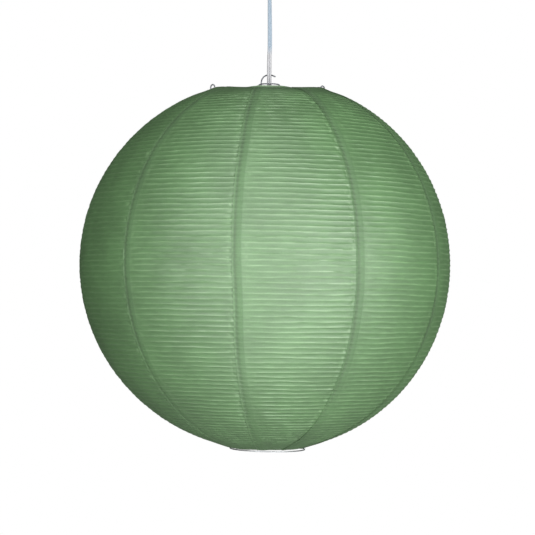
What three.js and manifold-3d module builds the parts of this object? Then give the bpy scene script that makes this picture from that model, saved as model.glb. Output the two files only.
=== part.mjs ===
// A round paper lantern shade on its cord, hanging from a ceiling fitting.
//
// Ten paper gores are glued round one long spiral rib. A wire frame stands between the top ring
// and the bottom ring, stretches the paper into a ball, and hangs by its crossbar on the lampholder.
// Millimetres, +Z up, the front faces -Y. The origin is where the ceiling fitting meets the ceiling.
import * as THREE from "three";
import { mergeVertices } from "three/addons/utils/BufferGeometryUtils.js";
import Module from "manifold-3d";

// ---- Driving dimensions ----
const GAP = 0.35; // between pieces that touch

// the paper ball
const BALL_DIAMETER = 500;
const PAPER = 0.8; // drawn thicker than real lantern paper
const GORES = 10;
const FIRST_SEAM = -7.7; // degrees from the front, positive to the right
const TOP_OPENING = 150; // diameter of the top ring, wire centre to wire centre
const BOTTOM_OPENING = 104; // outside diameter of the bottom hem
const RIM_DIP = 8; // how far the front and the back of the top rim sag between the two hooks
const HEM_DROP = 4; // the bottom hem hangs this far below the ball
const FADE = 45; // length of paper over which the sag and the drop die out
const TOP_COLLAR = 44; // width of the strengthening band inside the top
const BOTTOM_COLLAR = 32; // and inside the bottom
const COLLAR_PAPER = 0.8;

// the wires
const RIB_WIRE = 1.2;
const RIB_TURNS = 18; // one turn in five of the real spiral
const TOP_RING_WIRE = 2.4;
const BOTTOM_RING_WIRE = 1.8;
const BOTTOM_RING_BELOW_HEM = 1.6;
const FRAME_WIRE = 1.8;
const HOOK_HEIGHT = 11; // of the frame's hooks that hold the top ring
const HOOK_HALF_WIDTH = 3.1;
const TOE_CLEARANCE = 0.3; // the bottom ring slides past the frame's toes
const TOE_LENGTH = 6;
const TOE_KINK = 3.5; // the legs stand this far inside their toes
const TOE_BEND = 16; // height over which a leg comes in from its toe
const CROSSBAR_BELOW = 9; // the crossbar's ends below the top ring
const CROSSBAR_RISE = 4.8; // the crossbar's middle above the top ring
const CROSSBAR_SPAN = 30; // length of its raised middle
const CROSSBAR_BEND = 11; // length over which it climbs there
const CROOK_HEIGHT = 15; // of the cord hook above the crossbar
const CROOK_REACH = 8; // of its open tip past the cord
const CROOK_STEM = 12; // from the cord to its stem
const CROOK_FOOT = 8; // of its stem below the crossbar's middle

// the lampholder and the cord
const CORD = 6;
const CORD_CLEARANCE = 0.9; // round the cord where it passes a wire or a hole
const GRIP_DIAMETER = 16;
const GRIP_HEIGHT = 9;
const HOLDER_DIAMETER = 39;
const HOLDER_WALL = 2;
const CAP_HEIGHT = 19;
const SKIRT_HEIGHT = 43;
const BASE_THICKNESS = 9;
const SHELL_BORE = 26.6; // an E27 cap screws in here
const SHELL_WALL = 0.6;
const SHELL_DEPTH = 25;

// the ceiling fitting
const GRIP_BELOW_CEILING = 173.25; // the free cord and what holds it hang the lampholder this far down
const CUP_DIAMETER = 92;
const CUP_HEIGHT = 47;
const CUP_WALL = 2;
const PLATE_DIAMETER = 66;
const PLATE_THICKNESS = 3;
const PLATE_HOLES = 46; // between the two screws
const SCREW_HEAD = 7.5;
const PLATE_SCREW = 4;
const HOOK_WIRE = 3;
const HOOK_ROUND = 5; // radius of the hook, wire centre
const HOOK_DROP = 10; // from the plate to the hook's middle
const ANCHOR_HEIGHT = 9.5;
const ANCHOR_THICKNESS = 7;
const EYE_WALL = 2.5;
const EYE_THICKNESS = 3.4;
const BOSS_DIAMETER = 19; // the cup's neck, which the grub screw clamps on the cord
const BOSS_HEIGHT = 10;
const GRUB_SCREW = 3;

// ---- Worked out from them ----
const degrees = (angle) => (angle * Math.PI) / 180;
const ballRadius = BALL_DIAMETER / 2;
const ringRadius = TOP_OPENING / 2;
const hemRadius = BOTTOM_OPENING / 2;
const ringPaperGap = TOP_RING_WIRE / 2 + GAP;
const topAngle = Math.asin((ringRadius + ringPaperGap) / ballRadius);
const bottomAngle = Math.PI - Math.asin(hemRadius / ballRadius);
const ringHeight = ballRadius * Math.cos(topAngle) + TOP_RING_WIRE / 2;
const hemHeight = ballRadius * Math.cos(bottomAngle) - HEM_DROP;
const bottomRingHeight = hemHeight - BOTTOM_RING_BELOW_HEM;
const bottomRingRadius = hemRadius - PAPER - BOTTOM_RING_WIRE / 2;
const crossbarHeight = ringHeight + CROSSBAR_RISE;
const gripTop = crossbarHeight - FRAME_WIRE / 2 - GAP;
const gripBottom = gripTop - GRIP_HEIGHT;
const capBottom = gripBottom - CAP_HEIGHT;
const ceiling = gripTop + GRIP_BELOW_CEILING;
const cupBottom = ceiling - CUP_HEIGHT;
const plateBottom = ceiling - PLATE_THICKNESS;
const COLUMNS = 4; // facets across one gore
const ROWS = 20; // facets down one gore

const lantern = new THREE.Group();
lantern.position.z = -ceiling; // everything below is measured from the middle of the ball
const wasm = await Module();
wasm.setup();

const finishes = {
  paper: [0x7fa673, 0.9, 0],
  collar: [0x6f9664, 0.9, 0],
  rib: [0xb9c4a6, 0.6, 0],
  zinc: [0x9a9fa3, 0.4, 0.9],
  darkWire: [0x5d6166, 0.45, 0.9],
  cord: [0xd9dde4, 0.5, 0],
  plastic: [0xf2f2ef, 0.35, 0],
  ceramic: [0xeae6dc, 0.5, 0],
  brass: [0xc9a552, 0.3, 1],
};

function place(name, geometry, finish) {
  const [color, roughness, metalness] = finishes[finish];
  const material = new THREE.MeshStandardMaterial({ color, roughness, metalness });
  const mesh = new THREE.Mesh(geometry, material);
  mesh.name = name;
  lantern.add(mesh);
}

// A closed outline of [radius, height] points, turned round the Z axis.
function turned(outline, sides) {
  const points = [...outline, outline[0]].map(([radius, height]) => new THREE.Vector2(radius, height));
  return new THREE.LatheGeometry(points, sides).rotateX(Math.PI / 2);
}

// A wire through its bends, with the same number of steps between each two bends.
class BentWire extends THREE.CatmullRomCurve3 {
  constructor(bends) {
    super(bends.map(([x, y, z]) => new THREE.Vector3(x, y, z)), false, "centripetal");
  }
  getPointAt(share, target) {
    return this.getPoint(share, target);
  }
  getTangentAt(share, target) {
    return this.getTangent(share, target);
  }
}

function tube(curve, diameter, sides, steps) {
  const section = new THREE.Shape();
  for (let side = 0; side < sides; side += 1) {
    const angle = (2 * Math.PI * side) / sides;
    const corner = [(diameter / 2) * Math.cos(angle), (diameter / 2) * Math.sin(angle)];
    if (side === 0) section.moveTo(...corner);
    else section.lineTo(...corner);
  }
  return new THREE.ExtrudeGeometry(section, { steps, extrudePath: curve });
}

function bentWire(bends, diameter, stepsPerBend, sides = 6) {
  return tube(new BentWire(bends), diameter, sides, stepsPerBend * (bends.length - 1));
}

function toSolid(geometry) {
  const bare = geometry.clone();
  bare.deleteAttribute("normal");
  bare.deleteAttribute("uv");
  const merged = mergeVertices(bare, 1e-4);
  return new wasm.Manifold(
    new wasm.Mesh({
      numProp: 3,
      vertProperties: merged.attributes.position.array,
      triVerts: new Uint32Array(merged.index.array),
    }),
  );
}

function fromSolid(solid) {
  const { vertProperties, triVerts } = solid.getMesh();
  const geometry = new THREE.BufferGeometry();
  geometry.setAttribute("position", new THREE.BufferAttribute(vertProperties, 3));
  geometry.setIndex(new THREE.BufferAttribute(triVerts, 1));
  return geometry.toNonIndexed();
}

// ---- The paper ball ----

// The sag of the top rim and the drop of the bottom hem, at a place on the paper.
function paperShift(azimuth, angle) {
  const fromTop = Math.max(0, 1 - (ballRadius * (angle - topAngle)) / FADE);
  const fromBottom = Math.max(0, 1 - (ballRadius * (bottomAngle - angle)) / FADE);
  return -RIM_DIP * Math.cos(azimuth) ** 2 * fromTop ** 2 - HEM_DROP * fromBottom ** 2;
}

// A point of the ball: azimuth from the front, angle down from the pole, depth under the outside.
function onBall(azimuth, angle, depth) {
  const radius = ballRadius - depth;
  const across = radius * Math.sin(angle);
  return new THREE.Vector3(
    across * Math.sin(azimuth),
    -across * Math.cos(azimuth),
    radius * Math.cos(angle) + paperShift(azimuth, angle),
  );
}

// A panel of the ball's skin: a box bent to the ball.
function skinPanel({ from, to, top, bottom, depth, thickness, columns, rows }) {
  const panel = new THREE.BoxGeometry(1, 1, 1, columns, rows, 1);
  const corners = panel.attributes.position;
  for (let i = 0; i < corners.count; i += 1) {
    const azimuth = THREE.MathUtils.lerp(from, to, corners.getX(i) + 0.5);
    const angle = THREE.MathUtils.lerp(bottom, top, corners.getY(i) + 0.5);
    const under = depth + thickness * (0.5 - corners.getZ(i));
    corners.setXYZ(i, ...onBall(azimuth, angle, under));
  }
  return panel;
}

// The slot in the rim that lets a hook of the frame round the top ring.
const hookOut = TOP_RING_WIRE / 2 + GAP + FRAME_WIRE / 2; // ring centre to hook wire centre
const slotOuter = ringRadius + hookOut + FRAME_WIRE + 1.6;
function rimSlots(geometry) {
  let solid = toSolid(geometry);
  for (const side of [-1, 1]) {
    const slot = new THREE.BoxGeometry(slotOuter - ringRadius + 3, FRAME_WIRE + 2, 16);
    slot.translate(side * (slotOuter - (slotOuter - ringRadius + 3) / 2), 0, ringHeight);
    solid = solid.subtract(toSolid(slot));
  }
  return fromSolid(solid);
}

const goreStep = (2 * Math.PI) / GORES;
const halfSeam = GAP / hemRadius / 2; // an angle that leaves the gap even at the narrow end
for (let gore = 0; gore < GORES; gore += 1) {
  const from = degrees(FIRST_SEAM) + gore * goreStep;
  const panel = skinPanel({
    from: from + halfSeam,
    to: from + goreStep - halfSeam,
    top: topAngle,
    bottom: bottomAngle,
    depth: 0,
    thickness: PAPER,
    columns: COLUMNS,
    rows: ROWS,
  });
  const number = String(gore + 1).padStart(2, "0");
  place(`paper_gore_${number}`, rimSlots(panel), "paper");
}

// How far a flat facet of the paper lies inside the true surface.
const facetShrink = Math.cos(goreStep / COLUMNS / 2) * Math.cos((bottomAngle - topAngle) / ROWS / 2);
const rowLength = (ballRadius * (bottomAngle - topAngle)) / ROWS;
const shiftSag = (Math.max(RIM_DIP, HEM_DROP) * (rowLength / FADE) ** 2) / 4;
const facetSag = ballRadius * (1 - facetShrink) + shiftSag;

// A strengthening band inside the paper, as one ring of the same facets.
function collar(top, bottom, rows) {
  const facets = GORES * COLUMNS;
  const flat = [];
  const depth = PAPER + facetSag + GAP;
  for (let row = 0; row <= rows; row += 1) {
    flat.push([depth, THREE.MathUtils.lerp(bottom, top, row / rows)]);
  }
  for (let row = rows; row >= 0; row -= 1) {
    flat.push([depth + COLLAR_PAPER, THREE.MathUtils.lerp(bottom, top, row / rows)]);
  }
  const band = turned(flat, facets);
  const places = band.attributes.position;
  const count = flat.length + 1;
  for (let i = 0; i < places.count; i += 1) {
    const [under, angle] = flat[(i % count) % flat.length];
    const facet = Math.floor(i / count) % facets;
    const azimuth = degrees(FIRST_SEAM) + (facet * 2 * Math.PI) / facets;
    places.setXYZ(i, ...onBall(azimuth, angle, under));
  }
  return band;
}
const topCollarEnd = topAngle + TOP_COLLAR / ballRadius;
const bottomCollarStart = bottomAngle - BOTTOM_COLLAR / ballRadius;
place("top_collar", rimSlots(collar(topAngle, topCollarEnd, 3)), "collar");
place("bottom_collar", collar(bottomCollarStart, bottomAngle, 3), "collar");

// The long spiral rib, just inside the flat facets of the paper.
const ribRadius = ballRadius - PAPER - facetSag - GAP - RIB_WIRE * 0.75;
const RIB_STEPS = 20; // to a turn
class SpiralRib extends THREE.Curve {
  getPoint(share, target = new THREE.Vector3()) {
    const clear = RIB_WIRE * 2 / ballRadius;
    const angle = THREE.MathUtils.lerp(topCollarEnd + clear, bottomCollarStart - clear, share);
    const azimuth = share * RIB_TURNS * 2 * Math.PI;
    const across = ribRadius * Math.sin(angle);
    return target.set(across * Math.sin(azimuth), -across * Math.cos(azimuth), ribRadius * Math.cos(angle));
  }
  getPointAt(share, target) {
    return this.getPoint(share, target);
  }
  getTangentAt(share, target) {
    return this.getTangent(share, target);
  }
}
place("rib_spiral", tube(new SpiralRib(), RIB_WIRE, 4, RIB_TURNS * RIB_STEPS), "rib");

// ---- The two end rings ----
const topRing = new THREE.TorusGeometry(ringRadius, TOP_RING_WIRE / 2, 6, GORES * COLUMNS);
const ringPlaces = topRing.attributes.position;
for (let i = 0; i < ringPlaces.count; i += 1) {
  const frontness = ringPlaces.getY(i) / Math.hypot(ringPlaces.getX(i), ringPlaces.getY(i));
  ringPlaces.setZ(i, ringPlaces.getZ(i) + ringHeight - RIM_DIP * frontness ** 2);
}
place("top_ring", topRing, "zinc");
const bottomRing = new THREE.TorusGeometry(bottomRingRadius, BOTTOM_RING_WIRE / 2, 6, GORES * COLUMNS);
place("bottom_ring", bottomRing.translate(0, 0, bottomRingHeight), "zinc");

// ---- The wire frame ----

// One leg: its toe stands inside the bottom ring, and its top end hooks under and round the top ring.
const toeRadius = bottomRingRadius - BOTTOM_RING_WIRE / 2 - TOE_CLEARANCE - FRAME_WIRE / 2;
const legRadius = toeRadius - TOE_KINK;
const barLow = ringHeight - CROSSBAR_BELOW;
const barJoint = ringRadius - CROSSBAR_BELOW + 1;
const shoulder = barLow - (barJoint - legRadius); // where a leg turns outwards
const underRing = ringHeight - hookOut;
const hookHalfHeight = (HOOK_HEIGHT - hookOut) / 2;
const hookCentre = [ringRadius + 1.8, underRing + HOOK_HEIGHT - hookHalfHeight];
const HOOK_BENDS = 6;
function leg(side) {
  const bends = [
    [toeRadius, bottomRingHeight + 0.4],
    [toeRadius, bottomRingHeight + TOE_LENGTH],
    [legRadius, bottomRingHeight + TOE_LENGTH + TOE_BEND],
    [legRadius, 0],
    [legRadius, shoulder - 4],
    [legRadius + 4, shoulder + 3],
    [barJoint, barLow],
    [ringRadius - 3, underRing - 1.4],
    [ringRadius, underRing],
  ];
  for (let bend = 0; bend < HOOK_BENDS; bend += 1) {
    const round = degrees(THREE.MathUtils.lerp(-60, 185, bend / (HOOK_BENDS - 1)));
    bends.push([
      hookCentre[0] + HOOK_HALF_WIDTH * Math.cos(round),
      hookCentre[1] + hookHalfHeight * Math.sin(round),
    ]);
  }
  return bends.map(([x, z]) => [side * x, 0, z]);
}
place("frame_leg_left", bentWire(leg(-1), FRAME_WIRE, 3), "darkWire");
place("frame_leg_right", bentWire(leg(1), FRAME_WIRE, 3), "darkWire");

// The crossbar: welded between the legs, raised in the middle, and bowed round the front of the cord.
const wireFromCord = CORD / 2 + CORD_CLEARANCE + FRAME_WIRE / 2;
const halfSpan = CROSSBAR_SPAN / 2;
const barEnd = barJoint - (FRAME_WIRE + GAP) * Math.SQRT2;
const halfBar = [
  [barEnd, 0, barLow],
  [barEnd - 10, 0, barLow],
  [halfSpan + CROSSBAR_BEND + 3, 0, barLow - 2],
  [halfSpan + 3, 0, barLow + 3],
  [halfSpan - 1, -0.6, crossbarHeight - 1.5],
  [halfSpan - 6, -wireFromCord * 0.55, crossbarHeight],
];
const crossbar = [
  ...halfBar.map(([x, y, z]) => [-x, y, z]),
  [0, -wireFromCord, crossbarHeight],
  ...halfBar.toReversed(),
];
place("frame_crossbar", bentWire(crossbar, FRAME_WIRE, 3), "darkWire");

// The cord hook: it stands behind the crossbar and passes behind the cord, open on the right.
const crookTop = crossbarHeight + CROOK_HEIGHT;
const crook = [
  [-CROOK_STEM, 1, crossbarHeight - CROOK_FOOT],
  [-CROOK_STEM, 1, crossbarHeight],
  [-CROOK_STEM + 0.6, 1.6, crossbarHeight + CROOK_HEIGHT * 0.45],
  [-CROOK_STEM * 0.65, wireFromCord * 0.7, crookTop - 2.4],
  [-CROOK_STEM * 0.3, wireFromCord, crookTop - 0.4],
  [1, wireFromCord, crookTop],
  [CROOK_REACH * 0.7, wireFromCord * 0.8, crookTop - 1.6],
  [CROOK_REACH, wireFromCord * 0.6, crookTop - 1.5],
  [CROOK_REACH + 2, wireFromCord * 0.5, crookTop - 0.9],
];
place("cord_hook", bentWire(crook, FRAME_WIRE, 3), "darkWire");

// ---- The lampholder ----
const SIDES = 20;
const gripRadius = GRIP_DIAMETER / 2;
const cordHole = CORD / 2 + CORD_CLEARANCE;
place(
  "cord_grip",
  turned(
    [
      [cordHole, gripBottom],
      [gripRadius, gripBottom],
      [gripRadius, gripTop - 1.2],
      [gripRadius - 1.2, gripTop],
      [cordHole, gripTop],
    ],
    SIDES,
  ),
  "plastic",
);
const holderRadius = HOLDER_DIAMETER / 2;
const capTop = gripBottom - GAP;
place(
  "lampholder_cap",
  turned(
    [
      [holderRadius - HOLDER_WALL, capBottom],
      [holderRadius, capBottom],
      [holderRadius, capBottom + 7],
      [holderRadius - 3.5, capBottom + 13],
      [gripRadius, capTop],
      [cordHole, capTop],
      [cordHole, capTop - HOLDER_WALL],
      [gripRadius - 1, capTop - HOLDER_WALL],
      [holderRadius - HOLDER_WALL - 3, capBottom + 11.5],
      [holderRadius - HOLDER_WALL, capBottom + 6],
    ],
    SIDES,
  ),
  "plastic",
);
const skirtTop = capBottom - GAP;
const skirtBottom = skirtTop - SKIRT_HEIGHT;
place(
  "lampholder_skirt",
  turned(
    [
      [holderRadius - HOLDER_WALL, skirtBottom],
      [holderRadius - 1, skirtBottom],
      [holderRadius, skirtTop - 8],
      [holderRadius, skirtTop],
      [holderRadius - HOLDER_WALL, skirtTop],
    ],
    SIDES,
  ),
  "plastic",
);
const coreRadius = holderRadius - HOLDER_WALL - GAP - 0.2;
const baseTop = skirtTop - 2;
const baseBottom = baseTop - BASE_THICKNESS;
place(
  "contact_base",
  new THREE.CylinderGeometry(coreRadius, coreRadius, BASE_THICKNESS, SIDES)
    .rotateX(Math.PI / 2)
    .translate(0, 0, baseTop - BASE_THICKNESS / 2),
  "ceramic",
);
const shellTop = baseBottom - GAP;
const shellBottom = shellTop - SHELL_DEPTH;
place(
  "screw_shell",
  turned(
    [
      [SHELL_BORE / 2, shellBottom],
      [SHELL_BORE / 2 + SHELL_WALL, shellBottom],
      [SHELL_BORE / 2 + SHELL_WALL, shellTop],
      [SHELL_BORE / 2, shellTop],
    ],
    SIDES,
  ),
  "brass",
);
const contactThickness = 0.6;
const contactDrop = 4;
const contactProfile = new THREE.Shape()
  .moveTo(-7, 0)
  .lineTo(-2, 0)
  .lineTo(4, -contactDrop + contactThickness)
  .lineTo(6, -contactDrop + contactThickness + 0.8)
  .lineTo(6, -contactDrop + 0.8)
  .lineTo(4, -contactDrop)
  .lineTo(-2, -contactThickness)
  .lineTo(-7, -contactThickness)
  .closePath();
place(
  "centre_contact",
  new THREE.ExtrudeGeometry(contactProfile, { depth: 6, bevelEnabled: false })
    .translate(0, 0, -3)
    .rotateX(Math.PI / 2)
    .translate(0, 0, baseBottom - GAP),
  "brass",
);
const terminalHeight = 6;
for (const [name, side] of [["terminal_live", -1], ["terminal_neutral", 1]]) {
  const terminal = new THREE.BoxGeometry(6, 8, terminalHeight);
  terminal.translate(side * 7, 0, baseTop + GAP + terminalHeight / 2);
  place(name, terminal, "brass");
}

// ---- The ceiling fitting ----
const plateRadius = PLATE_DIAMETER / 2;
const plate = new THREE.CylinderGeometry(plateRadius, plateRadius, PLATE_THICKNESS, 24)
  .rotateX(Math.PI / 2)
  .translate(0, 0, plateBottom + PLATE_THICKNESS / 2);
const screwRadius = PLATE_SCREW / 2;
let drilled = toSolid(plate);
for (const side of [-1, 1]) {
  const hole = new THREE.CylinderGeometry(screwRadius + GAP, screwRadius + GAP, 3 * PLATE_THICKNESS, 12);
  hole.rotateX(Math.PI / 2).translate((side * PLATE_HOLES) / 2, 0, plateBottom);
  drilled = drilled.subtract(toSolid(hole));
}
place("ceiling_plate", fromSolid(drilled), "zinc");
for (const [name, side] of [["plate_screw_left", -1], ["plate_screw_right", 1]]) {
  const headBottom = plateBottom - GAP - 2.4;
  const screw = turned(
    [
      [0, headBottom],
      [SCREW_HEAD / 2 - 1, headBottom],
      [SCREW_HEAD / 2, headBottom + 1.2],
      [SCREW_HEAD / 2, plateBottom - GAP],
      [screwRadius, plateBottom - GAP],
      [screwRadius, ceiling - 0.1],
      [0, ceiling - 0.1],
    ],
    12,
  );
  place(name, screw.translate((side * PLATE_HOLES) / 2, 0, 0), "zinc");
}

// The hook under the plate, and the anchor that hangs on it and holds the end of the cord.
const hookMiddle = plateBottom - GAP - HOOK_DROP;
const ceilingHook = [
  [0, 0, plateBottom - GAP],
  [0, 0, plateBottom - 3],
];
for (const round of [143, 180, 225, 270, 315, 360, 381]) {
  const angle = degrees(round);
  ceilingHook.push([HOOK_ROUND * Math.cos(angle), 0, hookMiddle + HOOK_ROUND * Math.sin(angle)]);
}
place("ceiling_hook", bentWire(ceilingHook, HOOK_WIRE, 3, 8), "zinc");
const eyeRadius = HOOK_WIRE / 2 + 2;
const eyeMiddle = hookMiddle - HOOK_ROUND - (eyeRadius - HOOK_WIRE / 2 - 3 * GAP);
const eyeShape = new THREE.Shape().absarc(0, 0, eyeRadius + EYE_WALL, 0, 2 * Math.PI);
eyeShape.holes.push(new THREE.Path().absarc(0, 0, eyeRadius, 0, 2 * Math.PI));
const eyeDepth = { depth: EYE_THICKNESS, bevelEnabled: false, curveSegments: 8 };
const eye = new THREE.ExtrudeGeometry(eyeShape, eyeDepth);
eye.translate(0, 0, -EYE_THICKNESS / 2).rotateY(Math.PI / 2).translate(0, 0, eyeMiddle);
const anchorTop = eyeMiddle - eyeRadius - 1;
const anchorBottom = anchorTop - ANCHOR_HEIGHT;
const anchorBody = new THREE.BoxGeometry(CORD + 6, ANCHOR_THICKNESS, ANCHOR_HEIGHT);
anchorBody.translate(0, 0, anchorTop - ANCHOR_HEIGHT / 2);
place("cord_anchor", fromSolid(toSolid(eye).add(toSolid(anchorBody))), "plastic");
const terminalBlock = new THREE.BoxGeometry(10, 18, 12);
terminalBlock.translate(-PLATE_DIAMETER * 0.29, 0, plateBottom - 18);
place("terminal_block", terminalBlock, "plastic");

// The cup slides up the cord and hides them all.
const cupRadius = CUP_DIAMETER / 2;
const cupTop = ceiling - 0.4;
const bossRadius = BOSS_DIAMETER / 2;
const cup = turned(
  [
    [cupRadius - CUP_WALL, cupTop],
    [cupRadius - CUP_WALL, cupTop - 14],
    [cupRadius * 0.8 - CUP_WALL, cupTop - 27],
    [16, cupBottom + BOSS_HEIGHT + CUP_WALL],
    [cordHole, cupBottom + BOSS_HEIGHT + CUP_WALL],
    [cordHole, cupBottom],
    [bossRadius - 1.5, cupBottom],
    [bossRadius, cupBottom + 1.5],
    [bossRadius, cupBottom + BOSS_HEIGHT],
    [16, cupBottom + BOSS_HEIGHT],
    [cupRadius * 0.8, cupTop - 29],
    [cupRadius, cupTop - 15],
    [cupRadius, cupTop],
  ],
  28,
);
const grubRadius = GRUB_SCREW / 2;
const grubHeight = cupBottom + BOSS_HEIGHT / 2;
function grubCylinder(radius, from, to) {
  const cylinder = new THREE.CylinderGeometry(radius, radius, to - from, 10);
  return cylinder.rotateZ(Math.PI / 2).translate((from + to) / 2, 0, grubHeight);
}
const grubHole = grubCylinder(grubRadius + GAP, cordHole - 1, bossRadius + 2);
place("ceiling_cup", fromSolid(toSolid(cup).subtract(toSolid(grubHole))), "plastic");
place("cup_grub_screw", grubCylinder(grubRadius, cordHole + 0.2, bossRadius - 0.5), "zinc");

// ---- The cord ----
// It hangs straight from its anchor to the grip, with a slight set from the way it was wound.
const aboveGrip = [
  [0, 0, 0.35],
  [0, 0, 10],
  [-0.1, 0, 24],
  [0.1, 0, 38],
  [0.5, 0.1, 52],
  [0.5, 0.1, 72],
  [0.3, 0, 92],
  [0.1, 0, 110],
  [0, 0, 120.25],
  [0, 0, 134.25],
  [0, 0, 139.6],
];
const cordRoute = aboveGrip.map(([x, y, z]) => [x, y, gripTop + z]);
place("cord", bentWire(cordRoute, CORD, 1, 8), "cord");

export default lantern;
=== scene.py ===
"""A round paper lantern shade, hung by its wire frame from a plain lampholder on a twin cord.

Metres, +Z up, the front faces -Y. The origin is where the ceiling fitting meets the ceiling.
"""

import math

import bpy
import numpy as np
from mathutils import Matrix, Vector


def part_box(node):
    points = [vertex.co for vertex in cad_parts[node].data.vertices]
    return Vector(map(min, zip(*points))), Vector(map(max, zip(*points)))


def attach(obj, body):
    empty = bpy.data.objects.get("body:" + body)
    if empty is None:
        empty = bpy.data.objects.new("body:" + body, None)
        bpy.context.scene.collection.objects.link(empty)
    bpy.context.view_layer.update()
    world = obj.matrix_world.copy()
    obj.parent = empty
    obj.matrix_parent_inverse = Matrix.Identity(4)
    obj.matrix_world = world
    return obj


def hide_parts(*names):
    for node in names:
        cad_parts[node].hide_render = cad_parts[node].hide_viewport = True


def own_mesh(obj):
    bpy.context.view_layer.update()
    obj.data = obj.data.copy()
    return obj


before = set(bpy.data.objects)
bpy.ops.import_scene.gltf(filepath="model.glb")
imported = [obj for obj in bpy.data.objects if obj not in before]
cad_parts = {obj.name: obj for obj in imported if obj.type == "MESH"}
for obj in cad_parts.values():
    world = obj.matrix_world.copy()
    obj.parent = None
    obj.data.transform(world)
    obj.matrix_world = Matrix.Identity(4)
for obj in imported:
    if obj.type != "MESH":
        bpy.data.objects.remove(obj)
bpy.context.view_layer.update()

# ---- Camera ----
# A long lens stands well back, a little below the middle of the ball, and is tipped up at it. It is
# rolled by a third of a degree.
BALL = 0.250  # radius
HEM = 0.052  # radius of the bottom opening, outside
HEM_DROP = 0.002
HEM_CLEAR = 0.002  # the hem ends this far above the bottom ring's middle
bottom_angle = math.pi - math.asin(HEM / BALL)
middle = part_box("paper_gore_01")[0].z + HEM_DROP + HEM_CLEAR - BALL * math.cos(bottom_angle)

camera = bpy.data.objects.new("camera", bpy.data.cameras.new("camera"))
camera.data.lens = 118
camera.data.sensor_width = 36
camera.location = (-0.0008, -2.375, middle - 0.050)
camera.rotation_euler = (math.radians(91.12), math.radians(-0.3), 0)
bpy.context.scene.collection.objects.link(camera)
bpy.context.scene.camera = camera


# ---- Cord ----
# Twin flex: two cores side by side in one soft PVC sheath, pale, and painted bluer higher up as a
# change of light on it. It hangs from the anchor in the ceiling cup and runs down into the grip on the
# lampholder.
def node(tree, kind, inputs, **settings):
    """A shader node. inputs gives each socket a value or another node's output."""
    made = tree.nodes.new("ShaderNode" + kind)
    for key, value in settings.items():
        setattr(made, key, value)
    for key, value in inputs.items():
        if isinstance(value, bpy.types.NodeSocket):
            tree.links.new(value, made.inputs[key])
        else:
            made.inputs[key].default_value = value
    return made


def finish(name, colour, roughness, grain, metallic=0.0, clouds=0.06):
    """A surface whose colour and gloss drift in clouds, with a grain of that size in metres."""
    made = bpy.data.materials.new(name)
    made.use_nodes = True
    tree = made.node_tree
    shader = tree.nodes["Principled BSDF"]
    shader.inputs["Metallic"].default_value = metallic
    place = node(tree, "TexCoord", {}).outputs["Object"]
    cloud = node(tree, "TexNoise", {"Vector": place, "Scale": 0.12 / grain, "Detail": 4.0})
    fine = node(tree, "TexNoise", {"Vector": place, "Scale": 1 / grain, "Detail": 3.0})
    both = node(tree, "Math", {0: cloud.outputs[0], 1: fine.outputs[0]}, operation="ADD")
    dark = [part * (1 - 2 * clouds) for part in colour]
    light = [min(1.0, part * (1 + clouds)) for part in colour]
    mean = node(tree, "Math", {0: both.outputs[0], 1: 0.5}, operation="MULTIPLY").outputs[0]
    ramp = node(tree, "ValToRGB", {0: mean})
    ramp.color_ramp.elements[0].position = 0.35
    ramp.color_ramp.elements[0].color = (*dark, 1)
    ramp.color_ramp.elements[1].position = 0.65
    ramp.color_ramp.elements[1].color = (*light, 1)
    least, most = roughness * 0.85, min(1.0, roughness * 1.2)
    rough = node(tree, "MapRange", {0: cloud.outputs[0], 1: 0.3, 2: 0.7, 3: least, 4: most})
    bump = node(tree, "Bump", {"Height": fine.outputs[0], "Distance": grain * 0.15, "Strength": 0.35})
    tree.links.new(ramp.outputs[0], shader.inputs["Base Color"])
    tree.links.new(rough.outputs[0], shader.inputs["Roughness"])
    tree.links.new(bump.outputs[0], shader.inputs["Normal"])
    return made


def piece(name, points, faces, material, body, slot, *replaced):
    """A finished mesh that rides on a body and stands for the CAD nodes named."""
    mesh = bpy.data.meshes.new(name)
    mesh.from_pydata(np.asarray(points).tolist(), [], faces)
    mesh.polygons.foreach_set("use_smooth", [True] * len(mesh.polygons))
    mesh.set_sharp_from_angle(angle=math.radians(40))
    mesh.materials.append(material)
    made = bpy.data.objects.new(name, mesh)
    bpy.context.scene.collection.objects.link(made)
    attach(made, body)
    if replaced:
        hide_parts(*replaced)
    return made


def smooth_path(bends, steps):
    """A centripetal Catmull-Rom line through the bends, with that many steps between each two."""
    known = np.array(bends, float)
    known = np.vstack([2 * known[0] - known[1], known, 2 * known[-1] - known[-2]])
    line = []
    for before, start, end, after in zip(known, known[1:], known[2:], known[3:]):
        spans = [start - before, end - start, after - end]
        knots = np.cumsum([0.0] + [np.linalg.norm(span) ** 0.5 for span in spans])
        for step in range(steps):
            at = knots[1] + (knots[2] - knots[1]) * step / steps

            def between(a, b, i, j):
                return ((knots[j] - at) * a + (at - knots[i]) * b) / (knots[j] - knots[i])

            first = between(before, start, 0, 1)
            second = between(start, end, 1, 2)
            third = between(end, after, 2, 3)
            line.append(between(between(first, second, 0, 2), between(second, third, 1, 3), 1, 2))
    return np.array([*line, known[-2]])


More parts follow.
